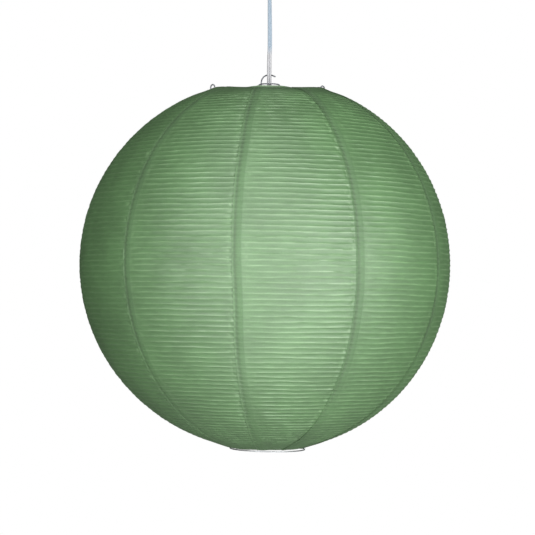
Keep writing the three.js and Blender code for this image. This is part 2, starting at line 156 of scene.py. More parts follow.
def swept(line, section, scales=None, twists=None, closed=False):
    """Points and faces of a section carried along a line, closed at both ends or on itself."""
    ahead = np.roll(line, -1, 0) - np.roll(line, 1, 0)
    if not closed:
        ahead[0], ahead[-1] = line[1] - line[0], line[-1] - line[-2]
    ahead /= np.linalg.norm(ahead, axis=1)[:, None]
    side = np.cross(ahead[0], (0.0, 1.0, 0.02))
    sides = []
    for direction in ahead:
        side = side - direction * (side @ direction)
        side /= np.linalg.norm(side)
        sides.append(side)
    sides = np.array(sides)
    ups = np.cross(ahead, sides)
    turn = np.zeros(len(line)) if twists is None else np.asarray(twists)
    size = np.ones(len(line)) if scales is None else np.asarray(scales)
    cos, sin = np.cos(turn)[:, None, None], np.sin(turn)[:, None, None]
    u, v = section[None, :, 0, None], section[None, :, 1, None]
    rings = line[:, None] + size[:, None, None] * (
        (u * cos - v * sin) * sides[:, None] + (u * sin + v * cos) * ups[:, None]
    )
    count, round_ = len(line), len(section)
    faces = []
    for ring in range(count if closed else count - 1):
        below, above = ring * round_, (ring + 1) % count * round_
        for corner in range(round_):
            following = (corner + 1) % round_
            faces.append((below + corner, above + corner, above + following, below + following))
    if not closed:
        faces.append(tuple(range(round_)))
        faces.append(tuple(reversed(range((count - 1) * round_, count * round_))))
    return rings.reshape(-1, 3), faces


grip_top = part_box("cord_grip")[1].z
CORD_WIDTH = 0.0061  # across both cores
CORE = 0.0016  # radius of each core's sheath
BLUE_ABOVE_BAR = 0.040
BLUE_OVER = 0.012
route = [
    (0, 0, 0.00035),
    (0, 0, 0.010),
    (-0.0001, 0, 0.024),
    (0.0001, 0, 0.038),
    (0.0005, 0.0001, 0.052),
    (0.0005, 0.0001, 0.072),
    (0.0003, 0, 0.092),
    (0.0001, 0, 0.110),
    (0, 0, 0.12025),
    (0, 0, 0.13425),
    (0, 0, 0.1396),
]
cord_line = smooth_path([(x, y, grip_top + z) for x, y, z in route], 8)
spacing = CORD_WIDTH / 2 - CORE
cord_round = np.linspace(0, 2 * math.pi, 40, endpoint=False)
cord_reach = spacing * np.abs(np.cos(cord_round)) + np.sqrt(CORE**2 - (spacing * np.sin(cord_round)) ** 2)
cord_section = np.stack([cord_reach * np.cos(cord_round), cord_reach * np.sin(cord_round)], 1)
cord_twist = np.radians(18) + np.radians(50) * np.linspace(0, 1, len(cord_line)) ** 2
sheath = finish("cord_pvc", (0.41, 0.41, 0.425), 0.42, 0.0012, clouds=0.05)
tree = sheath.node_tree
height = node(tree, "SeparateXYZ", {0: node(tree, "TexCoord", {}).outputs["Object"]}).outputs[2]
# Painted light: above the crossbar the sheath is tinted bluer, for the change of light along it.
blue_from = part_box("frame_crossbar")[1].z + BLUE_ABOVE_BAR
bluer = node(tree, "MapRange", {0: height, 1: blue_from, 2: blue_from + BLUE_OVER, 3: 0.0, 4: 1.0})
base_colour = tree.nodes["Principled BSDF"].inputs["Base Color"]
plain = base_colour.links[0].from_socket
tinted = node(tree, "Mix", {0: bluer.outputs[0], 6: plain, 7: (0.28, 0.35, 0.42, 1)}, data_type="RGBA")
tree.links.new(tinted.outputs[2], base_colour)
points, faces = swept(cord_line, cord_section, twists=cord_twist)
cord = piece("twin_cord", points, faces, sheath, "ceiling_fitting", "cord_sheath", "cord")


# ---- Ceiling plate and its screws ----
# A zinc plated steel disc with a pressed rim, held up against the ceiling by two pan head screws.
# Everything below hangs from it.
def eased(outline, radius, steps=3):
    """A closed outline with its corners rounded, by at most a third of the shorter side there."""
    corners = np.array(outline, float)
    made = []
    for before, corner, after in zip(np.roll(corners, 1, 0), corners, np.roll(corners, -1, 0)):
        to_before, to_after = before - corner, after - corner
        shorter = min(np.linalg.norm(to_before), np.linalg.norm(to_after))
        reach = min(radius, shorter / 3)
        start = corner + to_before / np.linalg.norm(to_before) * reach
        end = corner + to_after / np.linalg.norm(to_after) * reach
        for share in np.linspace(0, 1, steps + 1):
            made.append((1 - share) ** 2 * start + 2 * share * (1 - share) * corner + share**2 * end)
    return made


def turned(outline, sides=96, flutes=0, flute_depth=0.0, fluted=(0.0, 0.0)):
    """Points and faces of a closed outline of (radius, height), turned round the Z axis. Flutes are
    cut in the outside between two heights."""
    outline = np.array(outline)
    outline[:, 0] = np.maximum(outline[:, 0], 1e-5)
    count = len(outline)
    points = []
    for side in range(sides):
        angle = 2 * math.pi * side / sides
        for radius, height in outline:
            low, high = fluted
            if flutes and low < height < high:
                radius -= flute_depth * (0.5 + 0.5 * math.cos(flutes * angle)) ** 2
            points.append((radius * math.cos(angle), radius * math.sin(angle), height))
    faces = []
    for side in range(sides):
        here, there = side * count, (side + 1) % sides * count
        for corner in range(count):
            following = (corner + 1) % count
            faces.append((here + corner, there + corner, there + following, here + following))
    return points, faces


zinc_plate = finish("zinc_plated_steel", (0.62, 0.63, 0.64), 0.36, 0.003, metallic=1.0, clouds=0.1)
low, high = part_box("ceiling_plate")
plate_radius = high.x
plate_outline = [
    (0, low.z + 0.0004),
    (plate_radius - 0.009, low.z + 0.0004),
    (plate_radius - 0.008, low.z),
    (plate_radius, low.z),
    (plate_radius, high.z),
    (0, high.z),
]
points, faces = turned(eased(plate_outline, 0.0006))
piece("ceiling_disc", points, faces, zinc_plate, "ceiling_fitting", "ceiling_metal", "ceiling_plate")


def pan_screw(at, head_radius, head, shank_radius, top):
    """A pan head, head down, and a plain shank up to top. Its cross recess is cut later."""
    outline = [
        (0, -head),
        (head_radius * 0.55, -head),
        (head_radius * 0.9, -head * 0.72),
        (head_radius, -head * 0.3),
        (head_radius, 0),
        (shank_radius, 0),
        (shank_radius, top - at.z),
        (0, top - at.z),
    ]
    points, faces = turned(eased(outline, head_radius * 0.2), 48)
    return [Vector(point) + at for point in points], faces


def cut(target, cutter_points, cutter_faces):
    """Cuts a closed shape out of a piece."""
    mesh = bpy.data.meshes.new("cutter")
    mesh.from_pydata([tuple(point) for point in cutter_points], [], cutter_faces)
    cutter = bpy.data.objects.new("cutter", mesh)
    bpy.context.scene.collection.objects.link(cutter)
    boolean = target.modifiers.new("cut", "BOOLEAN")
    boolean.object = cutter
    boolean.operation = "DIFFERENCE"
    boolean.solver = "EXACT"
    bpy.context.view_layer.update()
    shape = bpy.data.meshes.new_from_object(target.evaluated_get(bpy.context.evaluated_depsgraph_get()))
    target.modifiers.clear()
    target.data = shape
    bpy.data.objects.remove(cutter)


def block(low, high):
    """Points and faces of a box."""
    xs, ys, zs = zip(low, high)
    points = [Vector((x, y, z)) for x in xs for y in ys for z in zs]
    faces = [(0, 1, 3, 2), (4, 6, 7, 5), (0, 4, 5, 1), (2, 3, 7, 6), (0, 2, 6, 4), (1, 5, 7, 3)]
    return points, faces


SCREW_HEAD = 0.0024
for side in ("left", "right"):
    low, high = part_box("plate_screw_" + side)
    middle_of_head = Vector(((low.x + high.x) / 2, 0, low.z + SCREW_HEAD))
    points, faces = pan_screw(middle_of_head, (high.x - low.x) / 2, SCREW_HEAD, 0.002, high.z)
    name = "pan_screw_" + side
    stands_for = "plate_screw_" + side
    screw = piece(name, points, faces, zinc_plate, "ceiling_fitting", "ceiling_metal", stands_for)
    for long, short in ((0.0021, 0.0004), (0.0004, 0.0021)):
        bottom = Vector((middle_of_head.x, 0, low.z))
        cut(screw, *block(bottom - Vector((long, short, 0.001)), bottom + Vector((long, short, 0.0011))))


# ---- Ceiling hook ----
# A bright steel wire, bent into an open hook and screwed up through the middle of the plate. The
# eye of the cord's anchor hangs in it.
def round_section(diameter, sides):
    angles = np.linspace(0, 2 * math.pi, sides, endpoint=False)
    return np.stack([np.cos(angles), np.sin(angles)], 1) * diameter / 2


def wire(name, bends, diameter, material, body, slot, *replaced, steps=5, sides=12):
    """A bent wire with rounded ends."""
    line = smooth_path(bends, steps)
    first, last = line[0] - line[1], line[-1] - line[-2]
    first, last = first / np.linalg.norm(first), last / np.linalg.norm(last)
    caps = [(0.5, 0.05), (0.43, 0.5), (0.25, 0.87)]
    starts = [line[0] + first * diameter * (out - 0.5) for out, _ in caps]
    ends = [line[-1] + last * diameter * (out - 0.5) for out, _ in reversed(caps)]
    whole = np.array([*starts, *line[1:-1], *ends])
    scales = np.ones(len(whole))
    scales[:3] = [share for _, share in caps]
    scales[-3:] = [share for _, share in reversed(caps)]
    points, faces = swept(whole, round_section(diameter, sides), scales=scales)
    return piece(name, points, faces, material, body, slot, *replaced)


HOOK_WIRE = 0.003
HOOK_ROUND = 0.005
hook_low, hook_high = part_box("ceiling_hook")
hook_middle = hook_low.z + HOOK_WIRE / 2 + HOOK_ROUND
hook_bends = [(0, 0, hook_high.z), (0, 0, hook_high.z - 0.0026)]
for turn in (143, 180, 225, 270, 315, 360, 381):
    turn = math.radians(turn)
    hook_bends.append((HOOK_ROUND * math.cos(turn), 0, hook_middle + HOOK_ROUND * math.sin(turn)))
wire(
    "steel_ceiling_hook",
    hook_bends,
    HOOK_WIRE,
    zinc_plate,
    "ceiling_fitting",
    "ceiling_metal",
    "ceiling_hook",
)

# ---- Cord anchor ----
# A moulded nylon block, clamped on the end of the cord, with an eye that hangs in the hook. Its
# edges are a little rounded, as they leave the mould.
nylon = finish("moulded_nylon", (0.84, 0.84, 0.81), 0.45, 0.0016, clouds=0.03)


def soften(name, material, width):
    """A CAD node with rounded edges and a finish of its own."""
    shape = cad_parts[name]
    shape.data.materials.clear()
    shape.data.materials.append(material)
    bevel = shape.modifiers.new("edges", "BEVEL")
    bevel.width = width
    bevel.segments = 3
    bevel.angle_limit = math.radians(35)
    shape.modifiers.new("shading", "WEIGHTED_NORMAL")
    return shape


soften("cord_anchor", nylon, 0.0006)

# ---- Terminal block ----
# Three nylon cells moulded side by side, each with a brass tube through it and a screw well on
# top. The cord's cores meet the mains wires in it.
brass = finish("plain_brass", (0.72, 0.53, 0.24), 0.28, 0.002, metallic=1.0, clouds=0.08)
low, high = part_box("terminal_block")
cells = 3
cell_depth = (high.y - low.y) / cells
terminal_points, terminal_faces = [], []
tube_points, tube_faces = [], []


def join(into_points, into_faces, points, faces):
    """Adds one shape to another's points and faces."""
    start = len(into_points)
    into_points.extend(Vector(point) for point in points)
    into_faces.extend(tuple(start + corner for corner in face) for face in faces)


for cell in range(cells):
    near = low.y + cell * cell_depth
    at = Vector(((low.x + high.x) / 2, near + cell_depth / 2, low.z))
    half = (cell_depth / 2 - 0.00015, (high.x - low.x) / 2)
    body_outline = [
        (-half[1], 0),
        (half[1], 0),
        (half[1], 0.0075),
        (half[1] - 0.002, 0.0085),
        (-half[1] + 0.002, 0.0085),
        (-half[1], 0.0075),
    ]
    ring = eased(body_outline, 0.0008)
    points = [at + Vector((x, y, z)) for y in (-half[0], half[0]) for x, z in ring]
    count = len(ring)
    faces = [tuple(range(count)), tuple(reversed(range(count, 2 * count)))]
    faces += [(i, i + count, (i + 1) % count + count, (i + 1) % count) for i in range(count)]
    join(terminal_points, terminal_faces, points, faces)
    well = [(0.0014, 0.0086), (0.0024, 0.0086), (0.0024, high.z - low.z), (0.0014, high.z - low.z)]
    points, faces = turned(eased(well, 0.0003), 32)
    join(terminal_points, terminal_faces, [at + Vector(point) for point in points], faces)
    points, faces = turned([(0, -0.0004), (0.0019, -0.0004), (0.0019, 0.0094), (0, 0.0094)], 24)
    across = Matrix.Rotation(math.pi / 2, 4, "Y")
    shift = at + Vector((0.0004 - half[1], 0, 0.0042))
    join(tube_points, tube_faces, [shift + across @ Vector(point) for point in points], faces)
piece(
    "terminal_strip",
    terminal_points,
    terminal_faces,
    nylon,
    "ceiling_fitting",
    "white_plastic",
    "terminal_block",
)
piece("terminal_tubes", tube_points, tube_faces, brass, "ceiling_fitting", "brass")

# ---- Ceiling cup and its grub screw ----
# A moulded cup in glossy white plastic hides the fitting. The grub screw in its neck clamps it on
# the cord, wherever it has been pushed up to.
gloss_white = finish("moulded_white", (0.88, 0.88, 0.86), 0.26, 0.002, clouds=0.02)
cup_low, cup_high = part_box("ceiling_cup")
cup_radius = cup_high.x
CUP_WALL = 0.002
CORD_HOLE = 0.0039
NECK = 0.0095
NECK_HEIGHT = 0.010
cup_outline = [
    (cup_radius - CUP_WALL, cup_high.z),
    (cup_radius - CUP_WALL, cup_high.z - 0.014),
    (cup_radius * 0.8 - CUP_WALL, cup_high.z - 0.027),
    (0.016, cup_low.z + NECK_HEIGHT + CUP_WALL),
    (CORD_HOLE, cup_low.z + NECK_HEIGHT + CUP_WALL),
    (CORD_HOLE, cup_low.z),
    (NECK - 0.0015, cup_low.z),
    (NECK, cup_low.z + 0.0015),
    (NECK, cup_low.z + NECK_HEIGHT),
    (0.016, cup_low.z + NECK_HEIGHT),
    (cup_radius * 0.8, cup_high.z - 0.029),
    (cup_radius, cup_high.z - 0.015),
    (cup_radius, cup_high.z),
]
points, faces = turned(eased(cup_outline, 0.004, 5), 128)
cup = piece("ceiling_rose_cup", points, faces, gloss_white, "cup", "white_plastic", "ceiling_cup")
grub_low, grub_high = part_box("cup_grub_screw")
grub_radius = (grub_high.z - grub_low.z) / 2
grub_length = grub_high.x - grub_low.x
grub_outline = [
    (0, 0),
    (grub_radius * 0.7, 0),
    (grub_radius, 0.0005),
    (grub_radius, grub_length - 0.0003),
    (grub_radius * 0.55, grub_length),
    (grub_radius * 0.5, grub_length - 0.001),
    (0, grub_length - 0.001),
]
points, faces = turned(eased(grub_outline, 0.0001), 32)
turn_to_x = Matrix.Rotation(math.pi / 2, 4, "Y")
seat = Vector((grub_low.x, 0, (grub_low.z + grub_high.z) / 2))
points = [seat + turn_to_x @ Vector(point) for point in points]
piece("grub_screw", points, faces, zinc_plate, "cup", "ceiling_metal", "cup_grub_screw")
bore_radius = grub_radius + 0.0003
bore_outline = [(0, 0.002), (bore_radius, 0.002), (bore_radius, NECK + 0.002), (0, NECK + 0.002)]
points, faces = turned(bore_outline, 32)
cut(cup, [Vector((0, 0, seat.z)) + turn_to_x @ Vector(point) for point in points], faces)

# ---- Lampholder ----
# A plain skirted holder in glossy white plastic. The grip clamps the cord at the top of the cap, the
# skirt screws up into the cap, and both have shallow flutes for the fingers.
low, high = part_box("cord_grip")
grip_radius = high.x
grip_outline = [
    (CORD_HOLE, low.z),
    (grip_radius, low.z),
    (grip_radius, high.z - 0.0012),
    (grip_radius - 0.0012, high.z),
    (CORD_HOLE, high.z),
]
points, faces = turned(eased(grip_outline, 0.0008), 120, 20, 0.0006, (low.z + 0.001, high.z - 0.0016))
piece("cord_grip_nut", points, faces, gloss_white, "ceiling_fitting", "white_plastic", "cord_grip")
low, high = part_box("lampholder_cap")
holder_radius = high.x
WALL = 0.002
cap_outline = [
    (holder_radius - WALL, low.z),
    (holder_radius, low.z),
    (holder_radius, low.z + 0.002),
    (holder_radius, low.z + 0.007),
    (holder_radius - 0.0035, low.z + 0.013),
    (grip_radius, high.z),
    (CORD_HOLE, high.z),
    (CORD_HOLE, high.z - WALL),
    (grip_radius - 0.001, high.z - WALL),
    (holder_radius - WALL - 0.003, low.z + 0.0115),
    (holder_radius - WALL, low.z + 0.006),
]
points, faces = turned(eased(cap_outline, 0.003, 4), 144, 36, 0.0005, (low.z + 0.0015, low.z + 0.008))
piece("holder_cap", points, faces, gloss_white, "ceiling_fitting", "white_plastic", "lampholder_cap")
low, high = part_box("lampholder_skirt")
skirt_outline = [
    (holder_radius - WALL, low.z),
    (holder_radius - 0.001, low.z),
    (holder_radius - 0.0007, low.z + 0.003),
    (holder_radius, high.z - 0.010),
    (holder_radius, high.z - 0.001),
    (holder_radius, high.z),
    (holder_radius - WALL, high.z),
]
points, faces = turned(eased(skirt_outline, 0.0006), 144, 36, 0.0005, (high.z - 0.0095, high.z - 0.0005))
piece("holder_skirt", points, faces, gloss_white, "ceiling_fitting", "white_plastic", "lampholder_skirt")

# ---- Contacts inside the lampholder ----
# A glazed porcelain base carries the screw shell, the sprung centre contact and the two terminals,
# all in brass. The shell is rolled with the thread that a lamp cap screws into.
porcelain = finish("glazed_porcelain", (0.80, 0.77, 0.70), 0.2, 0.004, clouds=0.04)
low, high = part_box("contact_base")
base_outline = [
    (0, low.z + 0.0012),
    (0.010, low.z + 0.0012),
    (0.0112, low.z),
    (high.x, low.z),
    (high.x, high.z),
    (0, high.z),
]
points, faces = turned(eased(base_outline, 0.0008), 96)
piece("porcelain_base", points, faces, porcelain, "ceiling_fitting", "porcelain", "contact_base")
low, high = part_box("screw_shell")
THREAD_PITCH = 0.00362
THREAD_DEPTH = 0.0007
SHELL_SHEET = 0.0003
shell_sides, shell_rows = 96, 64
shell_points, shell_faces = [], []
for offset in (0.0, SHELL_SHEET):
    for row in range(shell_rows + 1):
        height = low.z + (high.z - low.z) * row / shell_rows
        fade = min(1.0, (height - low.z) / 0.003, (high.z - height) / 0.003)
        for side in range(shell_sides):
            angle = 2 * math.pi * side / shell_sides
            wave = 0.5 - 0.5 * math.cos(2 * math.pi * (height / THREAD_PITCH + side / shell_sides))
            radius = high.x - SHELL_SHEET - THREAD_DEPTH * wave * fade + offset
            shell_points.append((radius * math.cos(angle), radius * math.sin(angle), height))
ring = (shell_rows + 1) * shell_sides
for row in range(shell_rows):
    for side in range(shell_sides):
        a, b = row * shell_sides + side, row * shell_sides + (side + 1) % shell_sides
        shell_faces.append((a, a + shell_sides, b + shell_sides, b))
        shell_faces.append((ring + a, ring + b, ring + b + shell_sides, ring + a + shell_sides))
for side in range(shell_sides):
    a, b = side, (side + 1) % shell_sides
    shell_faces.append((a, b, ring + b, ring + a))
    top = shell_rows * shell_sides
    shell_faces.append((top + b, top + a, ring + top + a, ring + top + b))
piece("threaded_shell", shell_points, shell_faces, brass, "ceiling_fitting", "brass", "screw_shell")
soften("centre_contact", brass, 0.00015)
for name in ("terminal_live", "terminal_neutral"):
    soften(name, brass, 0.0006)

# ---- Wire frame ----
# Drawn steel wire, grey and dull. Each leg stands with its toe in the bottom ring and hooks round the
# top ring; the crossbar is welded between them, and the open crook on it keeps the cord upright.
drawn_wire = finish("drawn_steel_wire", (0.20, 0.21, 0.23), 0.42, 0.0015, metallic=0.85, clouds=0.15)
FRAME_WIRE = 0.0018
GAP = 0.00035  # between wires that touch
TOE_CLEARANCE = 0.0003
TOE_KINK = 0.0035  # a leg stands this far inside its toe
BAR_BELOW = 0.009  # the crossbar's ends below the top ring
BAR_RISE = 0.008  # and its middle above it
BAR_INSET = 0.008  # where it is welded to the legs, inside the top ring
CORD_RADIUS = 0.003
CORD_CLEARANCE = 0.0009
TOP_WIRE = 0.0024
RIM_DROP = 0.0018  # the paper's pull holds the top ring this much lower
LOWER_WIRE = 0.0018
LOWER_RISE = 0.0018  # and the bottom ring this much higher
ring_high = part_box("top_ring")[1]
ring_height = ring_high.z - TOP_WIRE / 2 - RIM_DROP
ring_radius = ring_high.x - TOP_WIRE / 2
hook_out = TOP_WIRE / 2 + GAP + FRAME_WIRE / 2
lower_low, lower_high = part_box("bottom_ring")
lower_height = (lower_low.z + lower_high.z) / 2 + LOWER_RISE
lower_radius = lower_high.x - LOWER_WIRE / 2
toe = lower_radius - LOWER_WIRE / 2 - TOE_CLEARANCE - FRAME_WIRE / 2
leg = toe - TOE_KINK
bar_low = ring_height - BAR_BELOW
bar_joint = ring_radius - BAR_INSET
shoulder = bar_low - (bar_joint - leg)
under_ring = ring_height - hook_out


def leg_bends(side, hook):
    """The bends of a leg; hook gives the last ones, outwards and above the ring."""
    bends = [
        (toe, lower_height + 0.0004),
        (toe, lower_height + 0.006),
        (leg, lower_height + 0.022),
        (leg, middle),
        (leg, shoulder - 0.004),
        (leg + 0.004, shoulder + 0.003),
        (bar_joint, bar_low),
        (ring_radius - 0.003, under_ring - 0.0014),
    ]
    bends += [(ring_radius + out, ring_height + up) for out, up in hook]
    return [(side * x, 0, z) for x, z in bends]


left_hook = [
    (0, -0.00245),
    (0.0032, -0.0006),
    (0.0044, 0.0026),
    (0.0038, 0.0054),
    (0.0018, 0.0072),
    (-0.0003, 0.0060),
    (-0.0012, 0.0036),
]
right_hook = [
    (-0.0034, -0.0008),
    (-0.0052, 0.0020),
    (-0.0047, 0.0044),
    (-0.0028, 0.0060),
    (-0.0009, 0.0048),
    (0.0002, 0.0024),
]
for name, side, hook in (("left", -1, left_hook), ("right", 1, right_hook)):
    bends = leg_bends(side, hook)
    wire(name + "_leg", bends, FRAME_WIRE, drawn_wire, "shade", "frame_wire", "frame_leg_" + name)
bar_height = ring_height + BAR_RISE
from_cord = CORD_RADIUS + CORD_CLEARANCE + FRAME_WIRE / 2
bar_end = bar_joint - (FRAME_WIRE + GAP) * math.sqrt(2)
half_bar = [
    (bar_end, 0, bar_low),
    (bar_end - 0.010, 0, bar_low),
    (0.029, 0, bar_low - 0.002),
    (0.018, 0, bar_low + 0.003),
    (0.014, -0.0006, bar_height - 0.0015),
    (0.009, -from_cord * 0.55, bar_height),
]
bar_bends = [(-x, y, z) for x, y, z in half_bar] + [(0, -from_cord, bar_height)] + half_bar[::-1]
wire("crossbar", bar_bends, FRAME_WIRE, drawn_wire, "shade", "frame_wire", "frame_crossbar")
CROOK = 0.0132  # its height above the crossbar
STEM = 0.0108  # from the cord to its upright
TIP = 0.0068  # from the cord to its open end
crook_top = bar_height + CROOK
crook_bends = [
    (-STEM, 0.001, bar_height - 0.008),
    (-STEM, 0.001, bar_height),
    (-STEM + 0.0006, 0.0016, bar_height + CROOK * 0.45),
    (-STEM * 0.65, from_cord * 0.7, crook_top - 0.0024),
    (-STEM * 0.3, from_cord, crook_top - 0.0004),
    (0.001, from_cord, crook_top),
    (TIP * 0.7, from_cord * 0.8, crook_top - 0.0010),
    (TIP, from_cord * 0.6, crook_top - 0.0020),
    (TIP + 0.002, from_cord * 0.5, crook_top - 0.0027),
]
wire("cord_crook", crook_bends, FRAME_WIRE, drawn_wire, "shade", "frame_wire", "cord_hook")

# ---- End rings ----
# Galvanised wire. The top ring is hidden in the paper's folded rim, which sags at the front and the
# back. The bottom ring is bare just below the hem; its joint is on the right, where one end turns up.
galvanised = finish("galvanised_wire", (0.60, 0.62, 0.64), 0.38, 0.002, metallic=0.9, clouds=0.12)
RIM_DIP = 0.0072  # how far the front and the back sag
RING_TILT = 0.0008  # the bottom ring hangs this much lower on the right
around = np.linspace(0, 2 * math.pi, 180, endpoint=False)
ring_line = np.stack(
    [
        ring_radius * np.sin(around),
        -ring_radius * np.cos(around),
        ring_height - RIM_DIP * np.cos(around) ** 2,
    ],
    1,
)
points, faces = swept(ring_line, round_section(TOP_WIRE, 10), closed=True)
piece("top_wire_ring", points, faces, galvanised, "shade", "ring_wire", "top_ring")
lower_bends = [(lower_radius, 0.0006, lower_height + 0.0026), (lower_radius, 0.0004, lower_height + 0.0008)]
for turn in np.linspace(math.radians(92), math.radians(448), 72):
    tilt = -RING_TILT * math.sin(turn)
    lower_bends.append((lower_radius * math.sin(turn), -lower_radius * math.cos(turn), lower_height + tilt))
wire(
    "bottom_wire_ring",
    lower_bends,
    LOWER_WIRE * 0.9,
    galvanised,
    "lower_ring",
    "ring_wire",
    "bottom_ring",
    steps=3,
)

# ---- Spiral rib ----
# One long thin wire, wound round the ball from ring to ring. It is what holds the paper out: the
# paper is glued to every turn and hangs a little slack between them.
RIM = 0.07655  # radius of the top edge of the paper's ball, before it turns over the ring
FADE = 0.045  # the sag of the rim and the drop of the hem die out over this length of paper
LEAN = 0.0045  # the ball bulges this far to the left of its rings
TURNS = 94
FIRST_SEAM = math.radians(-7.7)  # from the front, positive to the right
BAND_TOP = 0.042  # no rib runs this close to the rim
BAND_BOTTOM = 0.030  # nor this close to the hem
RIB_WIRE = 0.0009
PAPER = 0.00016
RIB_DEPTH = 0.00055  # from the ball's surface to the wire
LONG_WANDER = 0.0009
SHORT_WANDER = 0.0005
top_angle = math.asin(RIM / BALL)
paper_length = BALL * (bottom_angle - top_angle)
pitch = paper_length / TURNS


def eased_step(values, start, end):
    share = np.clip((values - start) / (end - start), 0, 1)
    return share * share * (3 - 2 * share)


def in_bottom_band(along, start, end):
    """Falls from 1 to 0 between two distances from the paper's bottom edge."""
    return 1 - eased_step(along, paper_length + start, paper_length + end)


def drift(azimuth, along, around, rows, seed):
    """Smooth values from -1 to 1 over the ball, in that many cells round it and down it."""
    values = np.random.default_rng(seed).uniform(-1, 1, (around, rows + 2))
    u = np.mod(azimuth / (2 * math.pi), 1) * around
    v = np.clip(along / paper_length, 0, 1) * rows
    i, j = np.floor(u).astype(int), np.floor(v).astype(int)
    u, v = u - i, v - j
    u, v = u * u * (3 - 2 * u), v * v * (3 - 2 * v)
    i, k = i % around, (i + 1) % around
    upper = values[i, j] * (1 - u) + values[k, j] * u
    lower = values[i, j + 1] * (1 - u) + values[k, j + 1] * u
    return upper * (1 - v) + lower * v


def on_ball(azimuth, along, depth):
    """Points at an azimuth from the front, a length of paper down from the rim, and a depth."""
    angle = top_angle + along / BALL
    across = (BALL - depth) * np.sin(angle)
    near_top = np.maximum(0, 1 - along / FADE)
    near_bottom = np.maximum(0, 1 - (paper_length - along) / FADE)
    sag = (RIM_DROP + RIM_DIP * np.cos(azimuth) ** 2) * near_top**2 + HEM_DROP * near_bottom**2
    x = across * np.sin(azimuth) - LEAN * np.sin(angle) ** 2
    return np.stack([x, -across * np.cos(azimuth), middle + (BALL - depth) * np.cos(angle) - sag], -1)


def rib_length(azimuth, turn):
    """How far down the paper a turn of the rib lies. The turns wander a little."""
    straight = turn * pitch
    lead = pitch * azimuth / (2 * math.pi)
    free = eased_step(straight, 0, BAND_TOP) * in_bottom_band(straight, -BAND_BOTTOM, 0)
    wander = LONG_WANDER * drift(azimuth, straight + lead, 20, 30, 3)
    wander += SHORT_WANDER * drift(azimuth, straight + lead, 60, 80, 4)
    return straight + free * (lead + wander)


first_turn = math.ceil(BAND_TOP / pitch)
last_turn = math.floor((paper_length - BAND_BOTTOM) / pitch) - 1
STEPS = 64
rib_turn = np.repeat(np.arange(first_turn, last_turn), STEPS)
rib_azimuth = FIRST_SEAM + np.tile(np.arange(STEPS), last_turn - first_turn) / STEPS * 2 * math.pi
rib_line = on_ball(rib_azimuth, rib_length(rib_azimuth, rib_turn), RIB_DEPTH + RIB_WIRE / 2)
pale_rib = finish("rib_wire_in_tissue", (0.50, 0.60, 0.44), 0.6, 0.002, clouds=0.1)
points, faces = swept(rib_line, round_section(RIB_WIRE, 5))
rib = piece("spiral_rib", points, faces, pale_rib, "shade", "rib_wire", "rib_spiral")
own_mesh(rib)

# ---- Paper ----
# Mulberry paper, dyed green, with long fibres in it. Where two sheets lie on each other less light
# comes through, and the colour deepens; the ridges over the rib are worn lighter and carry a painted
# highlight. Painted shade lies where the paper hangs between the turns, in creases and in folds.
PAPER_GREEN = (0.124, 0.261, 0.098)
# The ridge colour is paper worn paler over the rib, with a painted highlight on it.
PAPER_PALE_AND_HIGHLIGHT = (0.276, 0.466, 0.228)
# The shadow colour is doubled paper and painted shade; the fold colour is painted shade.
PAPER_SHADOW = (0.080, 0.198, 0.061)
PAPER_FOLD_SHADE = (0.055, 0.122, 0.040)
PAPER_THROUGH = 0.3  # share of the light that goes through


